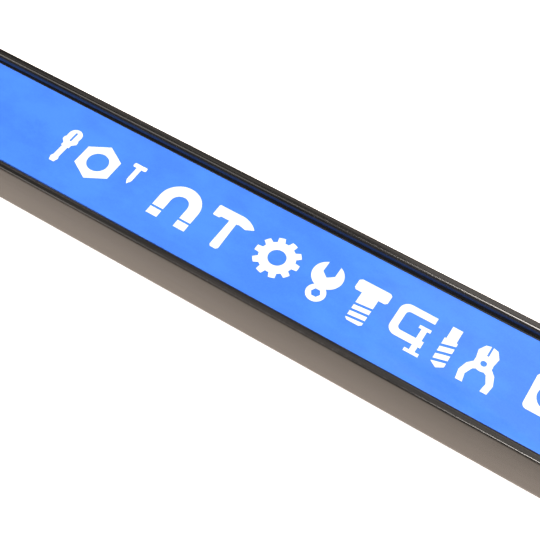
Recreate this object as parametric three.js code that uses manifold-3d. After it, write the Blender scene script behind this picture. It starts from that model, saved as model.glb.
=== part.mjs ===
// An 18 inch wall-mount magnetic tool holder bar.
//
// A folded steel U-channel lies along X with its open side up. A row of ferrite magnets sits in it under a
// steel pole strip, and a printed film covers the strip. Tools are held across the strip and the channel's
// two rails. At each end the channel's web runs on as a flat tab with a hole for a wall screw.
//
// Millimetres. +Z points out of the working face, and -Y is the lower side of the bar on a wall. The origin
// is at the middle of the mounting face, which lies on Z = 0.

import * as THREE from 'three';
import { mergeVertices } from 'three/addons/utils/BufferGeometryUtils.js';
import Module from 'manifold-3d';

// Driving dimensions
const BAR_LENGTH = 457.2; // 18 inches, over the two mounting tabs
const BAR_WIDTH = 25.4; // 1 inch
const BAR_HEIGHT = 12.7; // 1/2 inch
const SHEET = 2; // thickness of the channel's steel
const TAB_LENGTH = 16;
const MAGNET_COUNT = 10;
const MAGNET_LENGTH = 40;
const MAGNET_WIDTH = 19;
const MAGNET_HEIGHT = 7;
const MAGNET_GAP = 0.1;
const TAPE_THICKNESS = 0.2;
const POLE_THICKNESS = 1.5;
const FILM_THICKNESS = 0.25;
const SCREW_HOLE = 6.4; // diameter
const RIVET_SHANK = 3.2; // diameter

// Channel details
const BEND_INNER = 0.8; // radius
const EDGE_ROUND = 0.4; // radius along the top edges of the rails
const RAIL_END_ROUND = 2; // radius at the ends of the rails, seen from the side
const RAIL_END_SWEEP = 80; // degrees of that round, which then leaves upwards in a straight line
const TAB_WIDTH = 19;
const TAB_CORNER = 5; // radius

// Clearances
const SIDE_GAP = 0.1; // between the channel's inner walls and what slides in between them
const STACK_GAP = 0.15; // between the end of the magnet row and an end plug
const FLOOR_GAP = 0.05; // under an end plug
const STRIP_GAP = 0.1; // between the pole strip and its seat in an end plug
const HOLE_GAP = 0.1; // around a rivet's shank
const TAIL_GAP = 0.2; // around a rivet's tail

// End plug, spacer and rivet details
const PLUG_CHAMFER = 1;
const PLUG_TOP_CHAMFER = 0.5;
const PLUG_END_WALL = 1.4;
const SPACER_THICKNESS = 1.1;
const RIVET_INSET = 6; // from the end of the rails
const RIVET_HEAD = 6.5; // diameter
const RIVET_HEAD_HEIGHT = 1.2;
const RIVET_TAIL = 5.2; // diameter
const RIVET_TAIL_HEIGHT = 1;
const RIVET_TAIL_SINK = 0.1; // how far the tail stays inside the mounting face
const MAGNET_CHAMFER = 0.6;
const STRIP_CORNER = 1;
const FILM_LENGTH = 400;
const FILM_WIDTH = 20.2;
const FILM_CORNER = 1.5;
const TAPE_WIDTH = 18;

// Facets
const BEND_STEPS = 8;
const EDGE_STEPS = 4;
const HOLE_STEPS = 40;
const RIVET_STEPS = 32;
const MERGE_DISTANCE = 1e-4;

// Derived places
const RAIL_END = BAR_LENGTH / 2 - TAB_LENGTH;
const SCREW_X = BAR_LENGTH / 2 - TAB_LENGTH / 2;
const RIVET_X = RAIL_END - RIVET_INSET;
const INNER_WIDTH = BAR_WIDTH - 2 * SHEET;
const FITTED_WIDTH = INNER_WIDTH - 2 * SIDE_GAP;
const BEND_OUTER = BEND_INNER + SHEET;
const MAGNET_PITCH = MAGNET_LENGTH + MAGNET_GAP;
const STACK_END = (MAGNET_COUNT * MAGNET_PITCH - MAGNET_GAP) / 2;
const MAGNET_BOTTOM = SHEET + TAPE_THICKNESS;
const POLE_BOTTOM = MAGNET_BOTTOM + MAGNET_HEIGHT;
const POLE_TOP = POLE_BOTTOM + POLE_THICKNESS;
const PLUG_INNER = STACK_END + STACK_GAP;
const PLUG_OUTER = RAIL_END - 2 * SIDE_GAP;
const POLE_LENGTH = 2 * (PLUG_OUTER - PLUG_END_WALL - STRIP_GAP);
const RIVET_HOLE = RIVET_SHANK + 2 * HOLE_GAP;

const wasm = await Module();
wasm.setup();

const COLOURS = {
  blackPaint: { color: 0x17181a, roughness: 0.38, metalness: 0.3 },
  ferrite: { color: 0x3b3b3e, roughness: 0.75, metalness: 0.1 },
  tape: { color: 0xb9b4a4, roughness: 0.9, metalness: 0 },
  steel: { color: 0x8d9094, roughness: 0.45, metalness: 0.9 },
  zinc: { color: 0xb5b8ba, roughness: 0.35, metalness: 0.9 },
  blackPlastic: { color: 0x1d1e20, roughness: 0.6, metalness: 0 },
  blueFilm: { color: 0x2f6df0, roughness: 0.3, metalness: 0 },
};

function named(name, geometry, finish) {
  const mesh = new THREE.Mesh(geometry, new THREE.MeshStandardMaterial(finish));
  mesh.name = name;
  return mesh;
}

// A closed geometry as a solid that can be joined and cut.
function toSolid(geometry) {
  const bare = geometry.clone();
  bare.deleteAttribute('normal');
  bare.deleteAttribute('uv');
  const merged = mergeVertices(bare, MERGE_DISTANCE);
  return new wasm.Manifold(new wasm.Mesh({
    numProp: 3,
    vertProperties: merged.attributes.position.array,
    triVerts: new Uint32Array(merged.index.array),
  }));
}

function toGeometry(solid) {
  const mesh = solid.getMesh();
  const geometry = new THREE.BufferGeometry();
  geometry.setAttribute('position', new THREE.BufferAttribute(mesh.vertProperties, 3));
  geometry.setIndex(new THREE.BufferAttribute(mesh.triVerts, 1));
  geometry.computeVertexNormals();
  return geometry;
}

// Points of a quarter turn about (cx, cy), from the angle `start` in degrees, turning by `sweep`.
function arc(cx, cy, radius, start, sweep, steps) {
  const points = [];
  for (let i = 0; i <= steps; i += 1) {
    const angle = THREE.MathUtils.degToRad(start + (sweep * i) / steps);
    points.push(new THREE.Vector2(cx + radius * Math.cos(angle), cy + radius * Math.sin(angle)));
  }
  return points;
}

function roundedRectangle(length, width, radius, steps) {
  const x = length / 2 - radius;
  const y = width / 2 - radius;
  return [
    ...arc(x, y, radius, 0, 90, steps),
    ...arc(-x, y, radius, 90, 90, steps),
    ...arc(-x, -y, radius, 180, 90, steps),
    ...arc(x, -y, radius, 270, 90, steps),
  ];
}

// An outline in the XY plane, raised from `bottom` to `top`.
function prism(points, bottom, top) {
  const options = { depth: top - bottom, bevelEnabled: false };
  return new THREE.ExtrudeGeometry(new THREE.Shape(points), options).translate(0, 0, bottom);
}

// An outline given as (Y, Z) pairs, run along X from `start` to `end`.
function runAlongX(points, start, end) {
  const options = { depth: end - start, bevelEnabled: false };
  const geometry = new THREE.ExtrudeGeometry(new THREE.Shape(points), options);
  geometry.rotateX(Math.PI / 2);
  geometry.rotateZ(Math.PI / 2);
  return geometry.translate(start, 0, 0);
}

// An outline given as (X, Z) pairs, run across the bar along Y, evenly about the middle.
function runAlongY(points, width) {
  const options = { depth: width, bevelEnabled: false };
  const geometry = new THREE.ExtrudeGeometry(new THREE.Shape(points), options);
  geometry.rotateX(Math.PI / 2);
  return geometry.translate(0, width / 2, 0);
}

// A round cutter on the vertical line through (x, 0), given by its diameters at its two ends.
function drill(x, bottomWidth, topWidth, bottom, top) {
  const cutter = new THREE.CylinderGeometry(topWidth / 2, bottomWidth / 2, top - bottom, HOLE_STEPS);
  cutter.rotateX(Math.PI / 2);
  return toSolid(cutter.translate(x, 0, (top + bottom) / 2));
}

// The U section in the YZ plane: round bends at the bottom, softened edges along the top of both rails.
function channelSection() {
  const outer = BAR_WIDTH / 2;
  const inner = INNER_WIDTH / 2;
  const top = BAR_HEIGHT - EDGE_ROUND;
  return [
    ...arc(outer - BEND_OUTER, BEND_OUTER, BEND_OUTER, 270, 90, BEND_STEPS),
    ...arc(outer - EDGE_ROUND, top, EDGE_ROUND, 0, 90, EDGE_STEPS),
    ...arc(inner + EDGE_ROUND, top, EDGE_ROUND, 90, 90, EDGE_STEPS),
    ...arc(inner - BEND_INNER, SHEET + BEND_INNER, BEND_INNER, 0, -90, BEND_STEPS),
    ...arc(BEND_INNER - inner, SHEET + BEND_INNER, BEND_INNER, 270, -90, BEND_STEPS),
    ...arc(-inner - EDGE_ROUND, top, EDGE_ROUND, 0, 90, EDGE_STEPS),
    ...arc(EDGE_ROUND - outer, top, EDGE_ROUND, 90, 90, EDGE_STEPS),
    ...arc(BEND_OUTER - outer, BEND_OUTER, BEND_OUTER, 180, 90, BEND_STEPS),
  ];
}

// Seen from the side, the upper corners of the rails are rounded where the rails stop.
function railSide() {
  const roundX = RAIL_END - RAIL_END_ROUND;
  const roundZ = BAR_HEIGHT - RAIL_END_ROUND;
  const leave = 180 - RAIL_END_SWEEP;
  const above = BAR_HEIGHT + EDGE_ROUND;
  return [
    new THREE.Vector2(-RAIL_END, -SHEET),
    new THREE.Vector2(RAIL_END, -SHEET),
    ...arc(roundX, roundZ, RAIL_END_ROUND, 0, RAIL_END_SWEEP, EDGE_STEPS),
    new THREE.Vector2(roundX - RAIL_END_ROUND, above),
    new THREE.Vector2(RAIL_END_ROUND - roundX, above),
    ...arc(-roundX, roundZ, RAIL_END_ROUND, leave, RAIL_END_SWEEP, EDGE_STEPS),
  ];
}

// A mounting tab seen from above: square where it leaves the channel, round at its outer corners.
function tabOutline(side) {
  const cornerX = side * (BAR_LENGTH / 2 - TAB_CORNER);
  const cornerY = TAB_WIDTH / 2 - TAB_CORNER;
  const turn = side > 0 ? 0 : 180;
  return [
    new THREE.Vector2(side * RAIL_END, -side * (TAB_WIDTH / 2)),
    ...arc(cornerX, -side * cornerY, TAB_CORNER, 270 + turn, 90, BEND_STEPS),
    ...arc(cornerX, side * cornerY, TAB_CORNER, turn, 90, BEND_STEPS),
    new THREE.Vector2(side * RAIL_END, side * (TAB_WIDTH / 2)),
  ];
}

function channel() {
  let solid = toSolid(runAlongX(channelSection(), -RAIL_END, RAIL_END));
  solid = solid.intersect(toSolid(runAlongY(railSide(), 2 * BAR_WIDTH)));
  const tail = RIVET_TAIL + 2 * TAIL_GAP;
  const tailTop = RIVET_TAIL_SINK + RIVET_TAIL_HEIGHT;
  // The countersink's slope is carried on below the mounting face, so that the cut passes right through it.
  const mouth = tail + ((tail - RIVET_HOLE) * SHEET) / tailTop;
  for (const side of [-1, 1]) {
    solid = solid.add(toSolid(prism(tabOutline(side), 0, SHEET)));
    solid = solid.subtract(drill(side * SCREW_X, SCREW_HOLE, SCREW_HOLE, -SHEET, 2 * SHEET));
    solid = solid.subtract(drill(side * RIVET_X, RIVET_HOLE, RIVET_HOLE, -SHEET, 2 * SHEET));
    solid = solid.subtract(drill(side * RIVET_X, mouth, RIVET_HOLE, -SHEET, tailTop));
  }
  return named('channel', toGeometry(solid), COLOURS.blackPaint);
}

function magnetTape() {
  const tape = new THREE.BoxGeometry(FILM_LENGTH, TAPE_WIDTH, TAPE_THICKNESS);
  const mesh = named('magnet_tape', tape, COLOURS.tape);
  mesh.position.z = SHEET + TAPE_THICKNESS / 2;
  return mesh;
}

// One sintered ferrite block, its upright corners chamfered.
function magnet(index) {
  const block = prism(roundedRectangle(MAGNET_LENGTH, MAGNET_WIDTH, MAGNET_CHAMFER, 1), 0, MAGNET_HEIGHT);
  const mesh = named(`magnet_${index + 1}`, block, COLOURS.ferrite);
  mesh.position.set((index - (MAGNET_COUNT - 1) / 2) * MAGNET_PITCH, 0, MAGNET_BOTTOM);
  return mesh;
}

// A plastic strip that keeps the magnets and the pole strip off one rail.
function spacer(name, side) {
  const bottom = SHEET + BEND_INNER + SIDE_GAP;
  const strip = new THREE.BoxGeometry(2 * STACK_END, SPACER_THICKNESS, POLE_TOP - bottom);
  const mesh = named(name, strip, COLOURS.blackPlastic);
  mesh.position.set(0, side * ((INNER_WIDTH - SIDE_GAP - SPACER_THICKNESS) / 2), (POLE_TOP + bottom) / 2);
  return mesh;
}

function poleStrip() {
  const outline = roundedRectangle(POLE_LENGTH, MAGNET_WIDTH, STRIP_CORNER, EDGE_STEPS);
  let solid = toSolid(prism(outline, POLE_BOTTOM, POLE_TOP));
  for (const side of [-1, 1]) {
    solid = solid.subtract(drill(side * RIVET_X, RIVET_HOLE, RIVET_HOLE, MAGNET_BOTTOM, BAR_HEIGHT));
  }
  return named('pole_strip', toGeometry(solid), COLOURS.steel);
}

function label() {
  const outline = roundedRectangle(FILM_LENGTH, FILM_WIDTH, FILM_CORNER, EDGE_STEPS);
  return named('label', prism(outline, POLE_TOP, POLE_TOP + FILM_THICKNESS), COLOURS.blueFilm);
}

// The plug's section in the YZ plane, with its long edges chamfered to clear the channel's bends.
function plugSection() {
  const half = FITTED_WIDTH / 2;
  const bottom = SHEET + FLOOR_GAP;
  return [
    new THREE.Vector2(-half + PLUG_CHAMFER, bottom),
    new THREE.Vector2(half - PLUG_CHAMFER, bottom),
    new THREE.Vector2(half, bottom + PLUG_CHAMFER),
    new THREE.Vector2(half, POLE_TOP - PLUG_TOP_CHAMFER),
    new THREE.Vector2(half - PLUG_TOP_CHAMFER, POLE_TOP),
    new THREE.Vector2(PLUG_TOP_CHAMFER - half, POLE_TOP),
    new THREE.Vector2(-half, POLE_TOP - PLUG_TOP_CHAMFER),
    new THREE.Vector2(-half, bottom + PLUG_CHAMFER),
  ];
}

// An end plug closes the channel behind the last magnet. The end of the pole strip lies in its open seat.
// It is drawn for the right-hand end, and the left-hand one is the same piece turned half round.
function endPlug(name, turn) {
  let solid = toSolid(runAlongX(plugSection(), PLUG_INNER, PLUG_OUTER));
  const seatEnd = PLUG_OUTER - PLUG_END_WALL;
  const seat = new THREE.BoxGeometry(2 * seatEnd, MAGNET_WIDTH + 2 * STRIP_GAP, 2 * POLE_THICKNESS);
  solid = solid.subtract(toSolid(seat.translate(0, 0, POLE_BOTTOM + POLE_THICKNESS)));
  solid = solid.subtract(drill(RIVET_X, RIVET_HOLE, RIVET_HOLE, 0, BAR_HEIGHT));
  const mesh = named(name, toGeometry(solid), COLOURS.blackPlastic);
  mesh.rotation.z = turn;
  return mesh;
}

// A domed rivet through the pole strip, the end plug and the web, its tail set flush in the countersink.
function rivet(name, side) {
  const shank = RIVET_SHANK / 2;
  const head = RIVET_HEAD / 2;
  const crown = (head ** 2 + RIVET_HEAD_HEIGHT ** 2) / (2 * RIVET_HEAD_HEIGHT);
  const crownAngle = THREE.MathUtils.radToDeg(Math.acos((crown - RIVET_HEAD_HEIGHT) / crown));
  const dome = arc(0, POLE_TOP + RIVET_HEAD_HEIGHT - crown, crown, 90 - crownAngle, crownAngle, BEND_STEPS);
  dome[dome.length - 1].x = 0;
  const profile = [
    new THREE.Vector2(0, RIVET_TAIL_SINK),
    new THREE.Vector2(RIVET_TAIL / 2, RIVET_TAIL_SINK),
    new THREE.Vector2(shank, RIVET_TAIL_SINK + RIVET_TAIL_HEIGHT),
    new THREE.Vector2(shank, POLE_TOP),
    ...dome,
  ];
  const turned = new THREE.LatheGeometry(profile, RIVET_STEPS).rotateX(Math.PI / 2);
  const mesh = named(name, turned, COLOURS.zinc);
  mesh.position.x = side * RIVET_X;
  return mesh;
}

function magnetRow() {
  const row = new THREE.Group();
  row.add(magnetTape());
  for (let index = 0; index < MAGNET_COUNT; index += 1) {
    row.add(magnet(index));
  }
  row.add(spacer('spacer_front', -1));
  row.add(spacer('spacer_rear', 1));
  return row;
}

function ends() {
  const pair = new THREE.Group();
  pair.add(endPlug('end_plug_left', Math.PI));
  pair.add(endPlug('end_plug_right', 0));
  pair.add(rivet('rivet_left', -1));
  pair.add(rivet('rivet_right', 1));
  return pair;
}

const group = new THREE.Group();
group.add(channel());
group.add(magnetRow());
group.add(poleStrip());
group.add(label());
group.add(ends());

export default group;
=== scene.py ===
"""The looks of a wall-mount magnetic tool holder bar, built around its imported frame.

Shapes are drawn in millimetres in the part's own frame, +X along the bar and +Z out of the working
face, and are scaled to metres once they are finished. Places that the frame knows are read from its
nodes.
"""

import math

import bmesh
import bpy
from mathutils import Matrix, Vector, geometry


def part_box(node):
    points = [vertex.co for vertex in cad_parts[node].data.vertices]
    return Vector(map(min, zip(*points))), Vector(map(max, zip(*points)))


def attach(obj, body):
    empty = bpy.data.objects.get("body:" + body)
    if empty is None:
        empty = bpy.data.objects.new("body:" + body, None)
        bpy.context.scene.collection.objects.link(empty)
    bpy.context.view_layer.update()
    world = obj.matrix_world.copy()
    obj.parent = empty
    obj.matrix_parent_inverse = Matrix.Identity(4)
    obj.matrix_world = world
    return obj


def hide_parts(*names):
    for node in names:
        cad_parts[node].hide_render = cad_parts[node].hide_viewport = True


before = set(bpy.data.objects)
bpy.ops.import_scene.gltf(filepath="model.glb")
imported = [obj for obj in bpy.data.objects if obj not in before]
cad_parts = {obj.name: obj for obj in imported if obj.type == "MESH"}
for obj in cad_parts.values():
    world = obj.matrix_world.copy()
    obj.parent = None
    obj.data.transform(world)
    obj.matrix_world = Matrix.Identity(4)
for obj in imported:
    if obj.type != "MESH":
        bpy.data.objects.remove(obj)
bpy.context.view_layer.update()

MM = 0.001
SLIVER = 0.0005  # the shortest edge or height that a face may have, in millimetres


def node_box(node):
    """The lowest and highest corner of a CAD node, in millimetres."""
    low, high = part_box(node)
    return low / MM, high / MM


# ------------------------------------------------------------------------------------------
# Camera
# ------------------------------------------------------------------------------------------

CAMERA_PLACE = (0.6, -99.2, 170.7)
CAMERA_TURN = (34.44, -2.02, 31.95)
CAMERA_LENS = 70.2
CAMERA_CLIP = (0.01, 20)


def make_camera():
    data = bpy.data.cameras.new("camera")
    data.lens = CAMERA_LENS
    data.clip_start, data.clip_end = CAMERA_CLIP
    camera = bpy.data.objects.new("camera", data)
    camera.location = Vector(CAMERA_PLACE) * MM
    camera.rotation_euler = [math.radians(angle) for angle in CAMERA_TURN]
    bpy.context.scene.collection.objects.link(camera)
    bpy.context.scene.camera = camera


make_camera()


# ------------------------------------------------------------------------------------------
# Drawing and mesh work
# ------------------------------------------------------------------------------------------


def arc(cx, cy, radius, start, sweep, steps):
    """Points on a round stretch about (cx, cy), from the angle start, turning by sweep, in degrees."""
    angles = [math.radians(start + sweep * i / steps) for i in range(steps + 1)]
    return [(cx + radius * math.cos(a), cy + radius * math.sin(a)) for a in angles]


def circle(cx, cy, radius, steps=40):
    return arc(cx, cy, radius, 0, 360, steps)[:-1]


def rectangle(x0, y0, x1, y1):
    return [(x0, y0), (x1, y0), (x1, y1), (x0, y1)]


def rounded(x0, y0, x1, y1, radius, steps=8):
    return [
        *arc(x1 - radius, y1 - radius, radius, 0, 90, steps),
        *arc(x0 + radius, y1 - radius, radius, 90, 90, steps),
        *arc(x0 + radius, y0 + radius, radius, 180, 90, steps),
        *arc(x1 - radius, y0 + radius, radius, 270, 90, steps),
    ]


def mirrored(outline):
    return [(-x, y) for x, y in reversed(outline)]


def mesh_piece(name, vertices, faces):
    mesh = bpy.data.meshes.new(name)
    mesh.from_pydata(vertices, [], faces)
    piece = bpy.data.objects.new(name, mesh)
    bpy.context.scene.collection.objects.link(piece)
    return piece


def face_outwards(piece):
    work = bmesh.new()
    work.from_mesh(piece.data)
    bmesh.ops.recalc_face_normals(work, faces=work.faces)
    work.to_mesh(piece.data)
    work.free()


def along_x(a, b, c):
    return (c, a, b)


def along_y(a, b, c):
    return (a, c, b)


def along_z(a, b, c):
    return (a, b, c)


def run(name, outline, start, end, direction):
    """A closed solid: an outline run from start to end along one direction."""
    count = len(outline)
    vertices = [direction(a, b, c) for c in (start, end) for a, b in outline]
    sides = [(i, (i + 1) % count, (i + 1) % count + count, i + count) for i in range(count)]
    piece = mesh_piece(name, vertices, [*sides, range(count), range(count, 2 * count)])
    face_outwards(piece)
    return piece


def settle(piece):
    """Replaces a piece's mesh by what its modifiers make of it."""
    graph = bpy.context.evaluated_depsgraph_get()
    made = bpy.data.meshes.new_from_object(piece.evaluated_get(graph))
    piece.modifiers.clear()
    piece.data = made


def combine(piece, tool, operation):
    modifier = piece.modifiers.new("combine", "BOOLEAN")
    modifier.operation = operation
    modifier.solver = "EXACT"
    modifier.object = tool
    settle(piece)
    bpy.data.objects.remove(tool)


def clean(piece):
    """Splits the many-sided faces that cuts leave into triangles, without slivers of no area."""
    work = bmesh.new()
    work.from_mesh(piece.data)
    bmesh.ops.triangulate(work, faces=[face for face in work.faces if len(face.verts) > 4])
    bmesh.ops.dissolve_degenerate(work, dist=SLIVER, edges=work.edges)
    work.to_mesh(piece.data)
    work.free()


def soften(piece, width, segments=5, angle=25):
    """Rounds every edge sharper than the angle, then evens the shading on the flats beside them."""
    rounding = piece.modifiers.new("soften", "BEVEL")
    rounding.width = width
    rounding.segments = segments
    rounding.limit_method = "ANGLE"
    rounding.angle_limit = math.radians(angle)
    rounding.use_clamp_overlap = True
    settle(piece)
    clean(piece)
    smooth(piece)
    evening = piece.modifiers.new("even", "WEIGHTED_NORMAL")
    evening.weight = 100
    settle(piece)


def smooth(piece):
    piece.data.polygons.foreach_set("use_smooth", [True] * len(piece.data.polygons))


def turned(name, profile, steps=72):
    """A closed solid turned about Z from a profile of (radius, height) that starts and ends on it."""
    ring = profile[1:-1]
    vertices = [(0, 0, profile[0][1]), (0, 0, profile[-1][1])]
    for i in range(steps):
        a = 2 * math.pi * i / steps
        vertices += [(r * math.cos(a), r * math.sin(a), z) for r, z in ring]
    faces = []
    for i in range(steps):
        here = 2 + i * len(ring)
        there = 2 + (i + 1) % steps * len(ring)
        faces.append((0, there, here))
        faces.append((1, here + len(ring) - 1, there + len(ring) - 1))
        faces += [(here + k, there + k, there + k + 1, here + k + 1) for k in range(len(ring) - 1)]
    piece = mesh_piece(name, vertices, faces)
    face_outwards(piece)
    smooth(piece)
    return piece


def finished(piece, material, slot, *nodes):
    """Scales a piece to metres, gives it its material and has it stand for its CAD nodes."""
    piece.data.transform(Matrix.Scale(MM, 4))
    if material:
        piece.data.materials.clear()
        piece.data.materials.append(material)
    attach(piece, "root")
    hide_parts(*nodes)
    return piece


# ------------------------------------------------------------------------------------------
# Materials
# ------------------------------------------------------------------------------------------


class Surface:
    """A node material with a few short calls for the textures that the pieces share."""

    def __init__(self, name):
        self.material = bpy.data.materials.new(name)
        self.material.use_nodes = True
        self.tree = self.material.node_tree
        self.shader = self.tree.nodes["Principled BSDF"]
        self.place = self.tree.nodes.new("ShaderNodeTexCoord").outputs["Object"]

    def set(self, name, value):
        self.shader.inputs[name].default_value = value

    def link(self, output, name):
        self.tree.links.new(output, self.shader.inputs[name])

    def stretch(self, x, y, z):
        """Coordinates divided by these millimetres, so a noise of scale 1 has blobs of that size."""
        node = self.tree.nodes.new("ShaderNodeMapping")
        node.inputs["Scale"].default_value = (1 / (x * MM), 1 / (y * MM), 1 / (z * MM))
        self.tree.links.new(self.place, node.inputs["Vector"])
        return node.outputs["Vector"]

    def noise(self, size, detail=3, roughness=0.5):
        """A noise whose blobs are about this size in millimetres: one number, or one for each axis."""
        sizes = size if isinstance(size, tuple) else (size, size, size)
        node = self.tree.nodes.new("ShaderNodeTexNoise")
        node.inputs["Scale"].default_value = 1
        node.inputs["Detail"].default_value = detail
        node.inputs["Roughness"].default_value = roughness
        self.tree.links.new(self.stretch(*sizes), node.inputs["Vector"])
        return node.outputs["Fac"]

    def height(self):
        """The height over the mounting face, in metres."""
        node = self.tree.nodes.new("ShaderNodeSeparateXYZ")
        self.tree.links.new(self.place, node.inputs["Vector"])
        return node.outputs["Z"]

    def range(self, value, low, high, to_low, to_high):
        """The value moved from one range of numbers to another, and held within it."""
        node = self.tree.nodes.new("ShaderNodeMapRange")
        limits = {"From Min": low, "From Max": high, "To Min": to_low, "To Max": to_high}
        for name, number in limits.items():
            node.inputs[name].default_value = number
        self.tree.links.new(value, node.inputs["Value"])
        return node.outputs["Result"]

    def larger(self, first, second):
        """The larger of two values at each point."""
        node = self.tree.nodes.new("ShaderNodeMath")
        node.operation = "MAXIMUM"
        self.tree.links.new(first, node.inputs[0])
        self.tree.links.new(second, node.inputs[1])
        return node.outputs["Value"]

    def blend(self, factor, first, second):
        """A colour between two, each a colour or another node's output."""
        node = self.tree.nodes.new("ShaderNodeMix")
        node.data_type = "RGBA"
        self.tree.links.new(factor, node.inputs["Factor"])
        for name, colour in (("A", first), ("B", second)):
            socket = next(s for s in node.inputs if s.name == name and s.type == "RGBA")
            if isinstance(colour, tuple):
                socket.default_value = (*colour, 1)
            else:
                self.tree.links.new(colour, socket)
        return next(s for s in node.outputs if s.type == "RGBA")

    def bump(self, height, depth, strength=1.0, before=None):
        """Bump from a height of 0 to 1 that stands for a depth in millimetres."""
        node = self.tree.nodes.new("ShaderNodeBump")
        node.inputs["Strength"].default_value = strength
        node.inputs["Distance"].default_value = depth * MM
        self.tree.links.new(height, node.inputs["Height"])
        if before:
            self.tree.links.new(before, node.inputs["Normal"])
        return node.outputs["Normal"]


ENAMEL_DARK = (0.0096, 0.009, 0.0083)
ENAMEL_LIGHT = (0.0176, 0.016, 0.0144)
ENAMEL_TINT = (1, 0.93, 0.87, 1)
ENAMEL_IOR = 2.0
SCUFF_COLOUR = (0.036, 0.031, 0.028)
SCUFF_LOW, SCUFF_HIGH = 11.9, 12.6  # heights between which the rails start to be scuffed
DUST_COLOUR = (0.077, 0.07, 0.067)
# Painted shade: the enamel's specular level falls from the bottom to the top of the sides, so the
# sides reflect less and look darker towards the top. It stays low on the rails' rounded edges just
# under their tops, which darkens the line under the rails' highlights.
SIDE_LOW, SIDE_HIGH = 2, 12  # heights between which the sides shine less and less
SIDE_SHINE_LOW, SIDE_SHINE_HIGH = 0.64, 0.27  # their specular level at those heights
TOP_LOW, TOP_HIGH = 12.4, 12.58  # heights between which the shine of the rails' tops begins
TOP_SHINE = 0.56


def black_paint():
    """Gloss black enamel: faint orange peel, lines along the bar, dust, and scuffed rail tops. Its
    shine falls towards the top of the sides, a painted shade.
    """
    surface = Surface("black_paint")
    cloud = surface.noise(18, 3)
    streak = surface.noise((40, 0.5, 0.5), 3)
    grain = surface.noise(0.35, 2)
    dust = surface.range(surface.noise(0.22, 1), 0.7, 0.8, 0, 1)
    height = surface.height()
    body = surface.blend(cloud, ENAMEL_DARK, ENAMEL_LIGHT)
    scuffed = surface.blend(surface.range(streak, 0.46, 0.64, 0, 1), body, SCUFF_COLOUR)
    on_top = surface.range(height, SCUFF_LOW * MM, SCUFF_HIGH * MM, 0, 1)
    worn = surface.blend(on_top, body, scuffed)
    surface.link(surface.blend(dust, worn, DUST_COLOUR), "Base Color")
    surface.link(surface.range(streak, 0.3, 0.7, 0.15, 0.27), "Roughness")
    surface.set("IOR", ENAMEL_IOR)
    # painted shade: less shine towards the top of the sides and on the rounded edges under the rails'
    # tops
    sides = surface.range(height, SIDE_LOW * MM, SIDE_HIGH * MM, SIDE_SHINE_LOW, SIDE_SHINE_HIGH)
    tops = surface.range(height, TOP_LOW * MM, TOP_HIGH * MM, 0, TOP_SHINE)
    surface.link(surface.larger(sides, tops), "Specular IOR Level")
    surface.set("Specular Tint", ENAMEL_TINT)
    waves = surface.bump(surface.noise((14, 3, 3), 2), 0.012)
    peel = surface.bump(surface.noise(1.1, 2), 0.004, before=waves)
    lines = surface.bump(streak, 0.007, before=peel)
    surface.link(surface.bump(grain, 0.0015, before=lines), "Normal")
    return surface.material


BLUE_DEEP = (0.06, 0.198, 0.86)
BLUE = (0.069, 0.234, 0.9)
BLUE_PALE = (0.095, 0.32, 0.93)
FILM_IOR = 1.5
FILM_WAVES = (16, 6, 6)
FILM_WAVE_DEPTH = 0.2
FILM_BLOTCHES = (3.4, 2, 2)
FILM_BLOTCH_DEPTH = 0.025


def film_surface(surface):
    """Shallow waves and blotches, the same under the blue and the white."""
    waves = surface.bump(surface.noise(FILM_WAVES, 2), FILM_WAVE_DEPTH)
    blotches = surface.bump(surface.noise(FILM_BLOTCHES, 2), FILM_BLOTCH_DEPTH, before=waves)
    surface.link(blotches, "Normal")


def blue_film():
    """Printed vinyl: an even bright blue that is a little cloudy, lying in very shallow waves."""
    surface = Surface("blue_film")
    cloud = surface.range(surface.noise((13, 8, 8), 5, 0.65), 0.4, 0.6, 0, 1)
    speck = surface.noise(0.3, 2)
    body = surface.blend(cloud, BLUE_DEEP, BLUE)
    speckled = surface.range(speck, 0.3, 0.7, 0, 0.12)
    surface.link(surface.blend(speckled, body, BLUE_PALE), "Base Color")
    surface.link(surface.range(cloud, 0, 1, 0.12, 0.2), "Roughness")
    surface.set("IOR", FILM_IOR)
    film_surface(surface)
    return surface.material


def white_ink():
    """Thick white ink, which follows the film."""
    surface = Surface("white_ink")
    cloud = surface.noise(6, 3)
    surface.link(surface.blend(cloud, (0.82, 0.84, 0.87), (0.9, 0.9, 0.91)), "Base Color")
    surface.link(surface.range(cloud, 0.3, 0.7, 0.16, 0.26), "Roughness")
    film_surface(surface)
    return surface.material


def black_plastic():
    """Moulded black plastic with a fine matte texture."""
    surface = Surface("black_plastic")
    cloud = surface.noise(9, 3)
    grain = surface.noise(0.28, 2)
    surface.link(surface.blend(cloud, (0.015, 0.015, 0.016), (0.03, 0.03, 0.031)), "Base Color")
    surface.link(surface.range(grain, 0.3, 0.7, 0.5, 0.66), "Roughness")
    surface.set("Specular IOR Level", 0.3)
    surface.link(surface.bump(grain, 0.02), "Normal")
    return surface.material


def strip_steel():
    """Cold-rolled strip with rolling marks along it and a few darker stains."""
    surface = Surface("strip_steel")
    marks = surface.noise((30, 0.18, 0.18), 4)
    stain = surface.noise(7, 3)
    body = surface.blend(marks, (0.36, 0.36, 0.37), (0.52, 0.52, 0.53))
    stained = surface.range(stain, 0.5, 0.8, 0, 0.6)
    surface.link(surface.blend(stained, body, (0.24, 0.23, 0.22)), "Base Color")
    surface.set("Metallic", 1.0)
    surface.link(surface.range(marks, 0.3, 0.7, 0.3, 0.46), "Roughness")
    surface.link(surface.bump(marks, 0.006), "Normal")
    return surface.material


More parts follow.
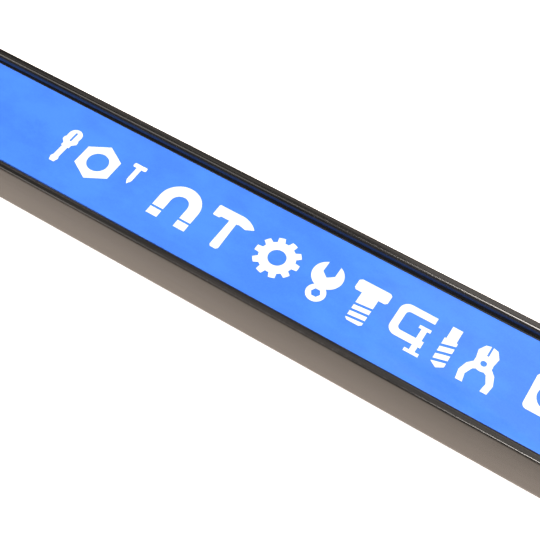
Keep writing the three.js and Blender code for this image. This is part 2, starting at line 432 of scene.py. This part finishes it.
def zinc():
    """Zinc plate on a rivet: bright, with soft spangles and fine hammer marks."""
    surface = Surface("zinc")
    spangle = surface.noise(1.4, 2)
    surface.link(surface.blend(spangle, (0.48, 0.49, 0.5), (0.66, 0.66, 0.66)), "Base Color")
    surface.set("Metallic", 1.0)
    surface.link(surface.range(spangle, 0.3, 0.7, 0.24, 0.4), "Roughness")
    surface.link(surface.bump(surface.noise(0.5, 3), 0.02), "Normal")
    return surface.material


def ferrite():
    """Sintered ferrite: charcoal, matte and finely pitted."""
    surface = Surface("ferrite")
    cloud = surface.noise(5, 4)
    pits = surface.noise(0.4, 4, 0.7)
    surface.link(surface.blend(cloud, (0.03, 0.03, 0.033), (0.065, 0.065, 0.068)), "Base Color")
    surface.link(surface.range(pits, 0.3, 0.7, 0.6, 0.8), "Roughness")
    surface.link(surface.bump(pits, 0.05), "Normal")
    return surface.material


def tape():
    """Double-sided tape: a pale paper carrier with fibres."""
    surface = Surface("tape")
    fibres = surface.noise((2.5, 0.3, 0.3), 4)
    surface.link(surface.blend(fibres, (0.42, 0.39, 0.32), (0.56, 0.53, 0.46)), "Base Color")
    surface.set("Roughness", 0.9)
    surface.link(surface.bump(fibres, 0.02), "Normal")
    return surface.material


BLACK_PAINT = black_paint()
BLUE_FILM = blue_film()
WHITE_INK = white_ink()
BLACK_PLASTIC = black_plastic()
STRIP_STEEL = strip_steel()
ZINC = zinc()
FERRITE = ferrite()
TAPE = tape()


# ------------------------------------------------------------------------------------------
# Channel
# ------------------------------------------------------------------------------------------

SHEET = 2
BEND_INNER = 0.8
RAIL_END_ROUND = 2
TAB_LENGTH = 16
TAB_WIDTH = 19
TAB_CORNER = 5
SCREW_HOLE = 6.4
RIVET_HOLE = 3.4
RIVET_MOUTH = 5.6
RIVET_MOUTH_DEPTH = 1.1
OUTER_ROUND = 0.5  # radius of the rails' outer top edges
INNER_ROUND = 0.8  # radius of their inner top edges
CUT_ROUND = 0.4  # radius of every other cut edge
BEND_STEPS = 20
EDGE_STEPS = 9
HOLE_STEPS = 72

bar_low, bar_high = node_box("channel")
rail_end = bar_high.x - TAB_LENGTH
screw_x = bar_high.x - TAB_LENGTH / 2
rivet_low, rivet_high = node_box("rivet_right")
rivet_x = (rivet_low.x + rivet_high.x) / 2


def channel_section():
    """The folded U in the YZ plane: its right half, from the middle of the web, then its mirror."""
    outer, top = bar_high.y, bar_high.z
    inner = outer - SHEET
    bend = BEND_INNER + SHEET
    right = [
        *arc(outer - bend, bend, bend, 270, 90, BEND_STEPS),
        *arc(outer - OUTER_ROUND, top - OUTER_ROUND, OUTER_ROUND, 0, 90, EDGE_STEPS),
        *arc(inner + INNER_ROUND, top - INNER_ROUND, INNER_ROUND, 90, 90, EDGE_STEPS),
        *arc(inner - BEND_INNER, bend, BEND_INNER, 0, -90, BEND_STEPS),
    ]
    return right + mirrored(right)


def channel_plan():
    """From above: full width between the rails' ends, then the narrower tabs with round corners."""
    wide, end, half = 2 * bar_high.y, bar_high.x, TAB_WIDTH / 2
    right = [
        (rail_end, -wide),
        (rail_end, -half),
        *arc(end - TAB_CORNER, TAB_CORNER - half, TAB_CORNER, 270, 90, BEND_STEPS),
        *arc(end - TAB_CORNER, half - TAB_CORNER, TAB_CORNER, 0, 90, BEND_STEPS),
        (rail_end, half),
        (rail_end, wide),
    ]
    return right + [(-x, -y) for x, y in right]


def rail_side():
    """From the side: the upper corners where the rails stop are rounded."""
    x, z, r = rail_end - RAIL_END_ROUND, bar_high.z - RAIL_END_ROUND, RAIL_END_ROUND
    past = 2 * bar_high.x
    right = [(past, -SHEET), (past, z), *arc(x, z, r, 0, 90, BEND_STEPS), (x, bar_high.z + 1)]
    return right + [(-a, b) for a, b in reversed(right)]


def hole(x, width, bottom=-SHEET, top=2 * SHEET):
    piece = run("hole", circle(0, 0, width / 2, HOLE_STEPS), bottom, top, along_z)
    piece.data.transform(Matrix.Translation((x, 0, 0)))
    return piece


def countersink(x):
    """A cone that opens downwards through the mounting face."""
    slope = (RIVET_MOUTH - RIVET_HOLE) / 2 / RIVET_MOUTH_DEPTH
    low = RIVET_MOUTH / 2 + slope * SHEET
    top = RIVET_MOUTH_DEPTH
    cone = turned("cone", [(0, -SHEET), (low, -SHEET), (RIVET_HOLE / 2, top), (0, top)])
    cone.data.transform(Matrix.Translation((x, 0, 0)))
    return cone


def make_channel():
    piece = run("channel_shell", channel_section(), 2 * bar_low.x, 2 * bar_high.x, along_x)
    combine(piece, run("plan", channel_plan(), -SHEET, 2 * bar_high.z, along_z), "INTERSECT")
    combine(piece, run("side", rail_side(), 2 * bar_low.y, 2 * bar_high.y, along_y), "INTERSECT")
    for side in (-1, 1):
        combine(piece, hole(side * screw_x, SCREW_HOLE), "DIFFERENCE")
        combine(piece, hole(side * rivet_x, RIVET_HOLE), "DIFFERENCE")
        combine(piece, countersink(side * rivet_x), "DIFFERENCE")
    soften(piece, CUT_ROUND)
    return finished(piece, BLACK_PAINT, "black_paint", "channel")


# ------------------------------------------------------------------------------------------
# Pole strip, end plugs and rivets
# ------------------------------------------------------------------------------------------

strip_low, strip_high = node_box("pole_strip")
plug_low, plug_high = node_box("end_plug_right")
PLUG_END_WALL = 1.4
PLUG_CHAMFER = 1
PLUG_ROUND = 0.2
SEAT_CORNER = 1
STRIP_CORNER = 1
STRIP_ROUND = 0.15
STRIP_GAP = 0.1
SMALL_ROUND_SEGMENTS = 3


def make_strip():
    outline = rounded(strip_low.x, strip_low.y, strip_high.x, strip_high.y, STRIP_CORNER)
    piece = run("pole_strip_plate", outline, strip_low.z, strip_high.z, along_z)
    for side in (-1, 1):
        cut = hole(side * rivet_x, RIVET_HOLE, strip_low.z - 1, strip_high.z + 1)
        combine(piece, cut, "DIFFERENCE")
    soften(piece, STRIP_ROUND, SMALL_ROUND_SEGMENTS)
    return finished(piece, STRIP_STEEL, "strip_steel", "pole_strip")


def plug_section():
    y, low, high, c = plug_high.y, plug_low.z, plug_high.z, PLUG_CHAMFER
    right = [(y - c, low), (y, low + c), (y, high - c / 2), (y - c / 2, high)]
    return right + [(-a, b) for a, b in reversed(right)]


def make_plug(name, node, side):
    piece = run(name, plug_section(), plug_low.x, plug_high.x, along_x)
    seat_y = strip_high.y + STRIP_GAP
    seat_x = plug_high.x - PLUG_END_WALL
    seat = rounded(0, -seat_y, seat_x, seat_y, SEAT_CORNER)
    combine(piece, run("seat", seat, strip_low.z, plug_high.z + 1, along_z), "DIFFERENCE")
    combine(piece, hole(rivet_x, RIVET_HOLE, 0, plug_high.z + 1), "DIFFERENCE")
    soften(piece, PLUG_ROUND, SMALL_ROUND_SEGMENTS)
    if side < 0:
        piece.data.transform(Matrix.Rotation(math.pi, 4, "Z"))
    return finished(piece, BLACK_PLASTIC, "black_plastic", node)


def make_rivet(name, node, side):
    """A domed rivet with a small dimple at its crown, its tail spread flush into the countersink."""
    head, shank, tail = (rivet_high.x - rivet_low.x) / 2, 1.6, 2.6
    seat, top, foot = strip_high.z, rivet_high.z, rivet_low.z
    rise = top - seat
    crown = (head**2 + rise**2) / (2 * rise)
    slope = math.degrees(math.acos((crown - rise) / crown))
    dimple = 0.9
    reach = math.degrees(math.asin(dimple / crown))
    dome = arc(0, top - crown, crown, 90 - slope, slope - reach, 14)
    profile = [
        (0, foot),
        (tail, foot),
        (shank, foot + 1),
        (shank, seat),
        (head - 0.1, seat),
        *dome,
        (dimple * 0.82, top - 0.12),
        (dimple * 0.6, top - 0.3),
        (0, top - 0.34),
    ]
    piece = turned(name, profile)
    piece.data.transform(Matrix.Translation((side * rivet_x, 0, 0)))
    return finished(piece, ZINC, "zinc_steel", node)


# ------------------------------------------------------------------------------------------
# The print on the label: a row of plain tool signs
# ------------------------------------------------------------------------------------------
#
# A sign is a list of (inked, outline) layers about its own middle, in millimetres, and a later layer
# covers the ones before.

HALF = 4.6
INK, BARE = True, False


def bar_marks(count, x, top, step, rise, thickness):
    """Slanting gaps across an upright bar, such as threads or flutes."""
    marks = []
    for i in range(count):
        y = top - i * step
        gap = [(-x, y - rise), (x, y + rise), (x, y + rise - thickness), (-x, y - rise - thickness)]
        marks.append((BARE, gap))
    return marks


def screwdriver():
    edge = [(-0.65, 0.6), (-0.65, -3), (-0.9, -3.6), (-0.55, -HALF)]
    blade = edge + mirrored(edge)
    handle = [
        (-0.95, -0.3),
        (-0.95, 0.5),
        *arc(-0.7, 1.5, 1, 200, -60, 5),
        *arc(0, HALF - 1.5, 1.5, 180, -180, 14),
        *arc(0.7, 1.5, 1, 40, -60, 5),
        (0.95, 0.5),
        (0.95, -0.3),
    ]
    flute = rounded(-0.22, 1.4, 0.22, 3.8, 0.2)
    return [(INK, blade), (INK, handle), (BARE, flute)]


def nail():
    shank = [(-0.55, 3.4), (-0.55, -0.2), (0, -1.2), (0.55, -0.2), (0.55, 3.4)]
    return [(INK, shank), (INK, rounded(-1.5, 3.1, 1.5, 4.1, 0.3, 3))]


def nut():
    hexagon = arc(0, 0, HALF, 30, 360, 6)[:-1]
    return [(INK, hexagon), (BARE, circle(0, 0, 2.25))]


def magnet_sign():
    outer, inner, y = 4.4, 1.9, 0.25
    body = [
        *arc(0, y, outer, 0, 180, 32),
        (-outer, -HALF),
        (-inner, -HALF),
        *arc(0, y, inner, 180, -180, 24),
        (inner, -HALF),
        (outer, -HALF),
    ]
    gap = rectangle(1, -2.9, outer + 1, -2.4)
    return [(INK, body), (BARE, gap), (BARE, mirrored(gap))]


def wrench():
    jaw = [(-1.25, HALF + 1), (-1.25, 2.2), (0, 1.2), (1.25, 2.2), (1.25, HALF + 1)]
    return [
        (INK, rectangle(-1.05, -3, 1.05, 0.4)),
        (INK, circle(0, 1.75, 3.1)),
        (BARE, jaw),
        (INK, circle(0, -2.7, 1.95)),
        (BARE, circle(0, -2.7, 0.95, 6)),
    ]


def gear():
    outline = []
    for i in range(10):
        a = 36 * i
        outline += arc(0, 0, HALF, a - 8, 16, 3)
        outline += arc(0, 0, 3.6, a + 12, 12, 2)
    return [(INK, outline), (BARE, circle(0, 0, 1.8))]


def hammer():
    handle = [(-0.75, 3), (-0.95, -HALF + 0.4), (-0.6, -HALF)]
    claw = [(0.6, HALF), *arc(0.6, -0.55, 5.2, 90, -48, 10), (2.9, 2.1), (0.6, 2.6)]
    return [
        (INK, handle + mirrored(handle)),
        (INK, rectangle(-2.9, 2.3, 1.2, HALF)),
        (INK, rounded(-4.3, 1.9, -2.7, HALF, 0.3, 3)),
        (INK, claw),
    ]


def bolt():
    head = [(-2.9, HALF), (-3.4, 4.2), (-3.4, 2.4), (-3, 2)]
    shank = [(-1.7, 2.1), (-1.7, -4.2), (-1.2, -HALF)]
    threads = bar_marks(3, 2, -0.3, 1.5, 0.2, 0.55)
    return [(INK, shank + mirrored(shank)), *threads, (INK, head + mirrored(head))]


def clamp():
    frame_bar = [
        (3.5, HALF),
        *arc(-1.7, 2.85, 1.8, 90, 90, 8),
        *arc(-1.7, -0.9, 1.8, 180, 90, 8),
        (3.5, -2.7),
        (3.5, -1.2),
        *arc(-1.2, -0.4, 0.8, 270, -90, 6),
        *arc(-1.2, 2.35, 0.8, 180, -90, 6),
        (3.5, 3.15),
    ]
    return [
        (INK, frame_bar),
        (INK, rectangle(1.9, -4.2, 3, 1.4)),
        (INK, rectangle(1.3, 1, 3.6, 1.7)),
        (INK, rectangle(1, -HALF, 3.9, -3.9)),
    ]


def drill_bit():
    body = [(-1.3, 1.8), (-1.3, -3.8), (0, -HALF), (1.3, -3.8), (1.3, 1.8)]
    return [(INK, body), *bar_marks(3, 1.6, 0.7, 1.7, 0.45, 0.6), (INK, rectangle(-1, 1.7, 1, HALF))]


def pliers():
    grip = [
        (-1.2, 0.9),
        (-2.7, -0.7),
        (-3.3, -2.6),
        (-3, -HALF),
        (-1.7, -HALF),
        (-2, -2.8),
        (-1.3, -1.2),
        (0.3, -0.3),
    ]
    jaw = [(-0.2, HALF), (-1.2, HALF - 0.3), (-2, 2.9), (-1.7, 1.2), (-0.2, 1.2)]
    return [
        (INK, grip),
        (INK, mirrored(grip)),
        (INK, jaw),
        (INK, mirrored(jaw)),
        (INK, circle(0, 0.7, 1.75)),
        (BARE, circle(0, 0.7, 0.6, 20)),
    ]


def scraper():
    blade = [(-2.9, -HALF), (2.9, -HALF), (2.6, -2.6), (1, -0.5), (-1, -0.5), (-2.6, -2.6)]
    return [(INK, blade), (INK, rounded(-1.3, -0.9, 1.3, HALF, 1.2)), (BARE, circle(0, 3.4, 0.5, 20))]


def tape_measure():
    body = [
        *arc(-0.1, 0.65, 4, 0, 90, 12),
        *arc(-3.1, 3.65, 1, 90, 90, 6),
        *arc(-3.1, -2.35, 1, 180, 90, 6),
        (3.9, -3.35),
    ]
    return [
        (INK, body),
        (BARE, circle(-0.2, 0.65, 2.5)),
        (INK, circle(-0.2, 0.65, 1.5)),
        (INK, rectangle(3.6, -3.35, 5.2, -2.7)),
        (INK, rectangle(4.6, -HALF, 5.2, -2.9)),
    ]


SIGN_GAP = 2.25
GROUP_GAP = 5.6
SIGN_RAISE = -0.25  # the row's middle, across the bar
SIGN_GROUPS = [
    [screwdriver, nut, nail],
    [magnet_sign, hammer, gear, wrench, bolt, clamp, drill_bit, pliers],
    [tape_measure, scraper, nut, magnet_sign],
    [wrench, gear, screwdriver, hammer, clamp, bolt, pliers],
]


def width_of(sign):
    """The left and right edge of a sign's ink."""
    xs = [x for inked, outline in sign for x, y in outline if inked]
    return min(xs), max(xs)


def sign_layers():
    """Every layer of every sign, placed in a row that is centred on the bar."""
    placed = []
    x = 0
    for group in SIGN_GROUPS:
        for draw in group:
            sign = draw()
            left, right = width_of(sign)
            for inked, outline in sign:
                placed.append((inked, [(a - left + x, b + SIGN_RAISE) for a, b in outline]))
            x += right - left + SIGN_GAP
        x += GROUP_GAP - SIGN_GAP
    half = (x - GROUP_GAP) / 2
    return [(inked, [(a - half, b) for a, b in outline]) for inked, outline in placed]


# ------------------------------------------------------------------------------------------
# Label
# ------------------------------------------------------------------------------------------

label_low, label_high = node_box("label")
FILM_CORNER = 1.5
FILM_SKEW = -0.1  # degrees, from being laid by hand


def counter_clockwise(outline):
    """The outline in the direction that the triangulation counts as filled."""
    turns = zip(outline, [*outline[1:], outline[0]])
    area = sum(x0 * y1 - x1 * y0 for (x0, y0), (x1, y1) in turns)
    return outline if area > 0 else list(reversed(outline))


def make_label():
    """A flat film whose top is divided along the signs, each face in its last layer's material."""
    edge = rounded(label_low.x, label_low.y, label_high.x, label_high.y, FILM_CORNER)
    layers = [(BARE, edge), *sign_layers()]
    points = []
    loops = []
    for _, outline in layers:
        loops.append(list(range(len(points), len(points) + len(outline))))
        points += [Vector(point) for point in counter_clockwise(outline)]
    flat, _, triangles, _, _, sources = geometry.delaunay_2d_cdt(points, [], loops, 1, 1e-5)
    vertices = [(p.x, p.y, label_high.z) for p in flat]
    inked = [layers[max(source)][0] for source in sources]
    rim = outer_rim(triangles)
    below = {index: len(vertices) + i for i, index in enumerate(rim)}
    vertices += [(flat[index].x, flat[index].y, label_low.z) for index in rim]
    faces = [list(triangle) for triangle in triangles]
    for i, index in enumerate(rim):
        following = rim[(i + 1) % len(rim)]
        faces.append([following, index, below[index], below[following]])
    faces.append([below[index] for index in reversed(rim)])
    piece = mesh_piece("label_film", vertices, faces)
    piece.data.materials.append(BLUE_FILM)
    piece.data.materials.append(WHITE_INK)
    for polygon, ink in zip(piece.data.polygons, inked):
        polygon.material_index = int(ink)
    piece.data.transform(Matrix.Rotation(math.radians(FILM_SKEW), 4, "Z"))
    return finished(piece, None, "blue_film", "label")


def outer_rim(triangles):
    """The vertices round the edge of a flat mesh of triangles, in order."""
    edges = set()
    for a, b, c in triangles:
        edges.update([(a, b), (b, c), (c, a)])
    ahead = {start: end for start, end in edges if (end, start) not in edges}
    first = min(ahead)
    rim = [first]
    while ahead[rim[-1]] != first:
        rim.append(ahead[rim[-1]])
    return rim


# ------------------------------------------------------------------------------------------
# Assembly
# ------------------------------------------------------------------------------------------

make_channel()
make_strip()
make_plug("end_plug_left_shell", "end_plug_left", -1)
make_plug("end_plug_right_shell", "end_plug_right", 1)
make_rivet("rivet_left_turned", "rivet_left", -1)
make_rivet("rivet_right_turned", "rivet_right", 1)
make_label()

for name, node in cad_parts.items():
    inner = {"magnet_tape": TAPE, "spacer_front": BLACK_PLASTIC, "spacer_rear": BLACK_PLASTIC}
    if name in inner or name.startswith("magnet_"):
        node.material_slots[0].material = inner.get(name, FERRITE)


# ------------------------------------------------------------------------------------------
# Floor and light
# ------------------------------------------------------------------------------------------

FLOOR_SIZE = 6
FLOOR_DROP = 0.1  # below the mounting face, in millimetres
FLOOR_ROUGHNESS = 0.9
FLOOR_COLOUR = (0.9, 0.79, 0.7, 1)
BACKDROP_WHITE = (1, 1, 1, 1)
ROOM_DIM = (0.019, 0.0187, 0.018, 1)


def make_floor():
    """A plain pale floor, which stays as pale as the backdrop where the lights no longer reach it."""
    bpy.ops.mesh.primitive_plane_add(size=FLOOR_SIZE, location=(0, 0, -FLOOR_DROP * MM))
    floor = bpy.context.object
    floor.name = "floor"
    material = bpy.data.materials.new("pale_floor")
    material.use_nodes = True
    tree = material.node_tree
    shader = tree.nodes["Principled BSDF"]
    shader.inputs["Base Color"].default_value = FLOOR_COLOUR
    shader.inputs["Roughness"].default_value = FLOOR_ROUGHNESS
    shader.inputs["Specular IOR Level"].default_value = 0
    shader.inputs["Emission Color"].default_value = BACKDROP_WHITE
    seen = tree.nodes.new("ShaderNodeLightPath").outputs["Is Camera Ray"]
    tree.links.new(seen, shader.inputs["Emission Strength"])
    floor.data.materials.append(material)


def make_backdrop():
    """A dim room, with a pale backdrop in it."""
    world = bpy.data.worlds.new("studio")
    world.use_nodes = True
    tree = world.node_tree
    dim = tree.nodes["Background"]
    dim.inputs["Color"].default_value = ROOM_DIM
    pale = tree.nodes.new("ShaderNodeBackground")
    pale.inputs["Color"].default_value = BACKDROP_WHITE
    choice = tree.nodes.new("ShaderNodeMixShader")
    seen = tree.nodes.new("ShaderNodeLightPath").outputs["Is Camera Ray"]
    tree.links.new(seen, choice.inputs["Fac"])
    tree.links.new(dim.outputs["Background"], choice.inputs[1])
    tree.links.new(pale.outputs["Background"], choice.inputs[2])
    tree.links.new(choice.outputs["Shader"], tree.nodes["World Output"].inputs["Surface"])
    bpy.context.scene.world = world


def softbox(name, place, size, glow):
    """A rectangle of light turned towards the bar; its glow is how bright it looks."""
    data = bpy.data.lights.new(name, "AREA")
    data.shape = "RECTANGLE"
    data.size, data.size_y = size
    data.energy = glow * math.pi * size[0] * size[1]
    light = bpy.data.objects.new(name, data)
    light.location = place
    light.rotation_euler = (-light.location).to_track_quat("-Z", "Y").to_euler()
    light.visible_camera = False
    bpy.context.scene.collection.objects.link(light)


# Each softbox has a name, a place, a size and a glow. Its place and size are in metres.
SOFTBOXES = [
    ("key", (0.1, -0.135, 0.5), (0.32, 0.27), 11.5),
    ("right_side", (0.7, -0.1, 0.45), (0.5, 0.3), 2.8),
    ("left_side", (-0.8, -0.1, 0.45), (0.5, 0.3), 12),
    ("left_fill", (-0.36, -0.17, 0.5), (0.34, 0.24), 0.9),
    ("rear_fill", (0.1, 0.39, 0.55), (0.5, 0.24), 0.7),
    ("rear_left_fill", (-0.34, 0.39, 0.55), (0.26, 0.24), 0.11),
]

make_floor()
make_backdrop()
for box in SOFTBOXES:
    softbox(*box)
bpy.context.scene.view_settings.view_transform = "Standard"
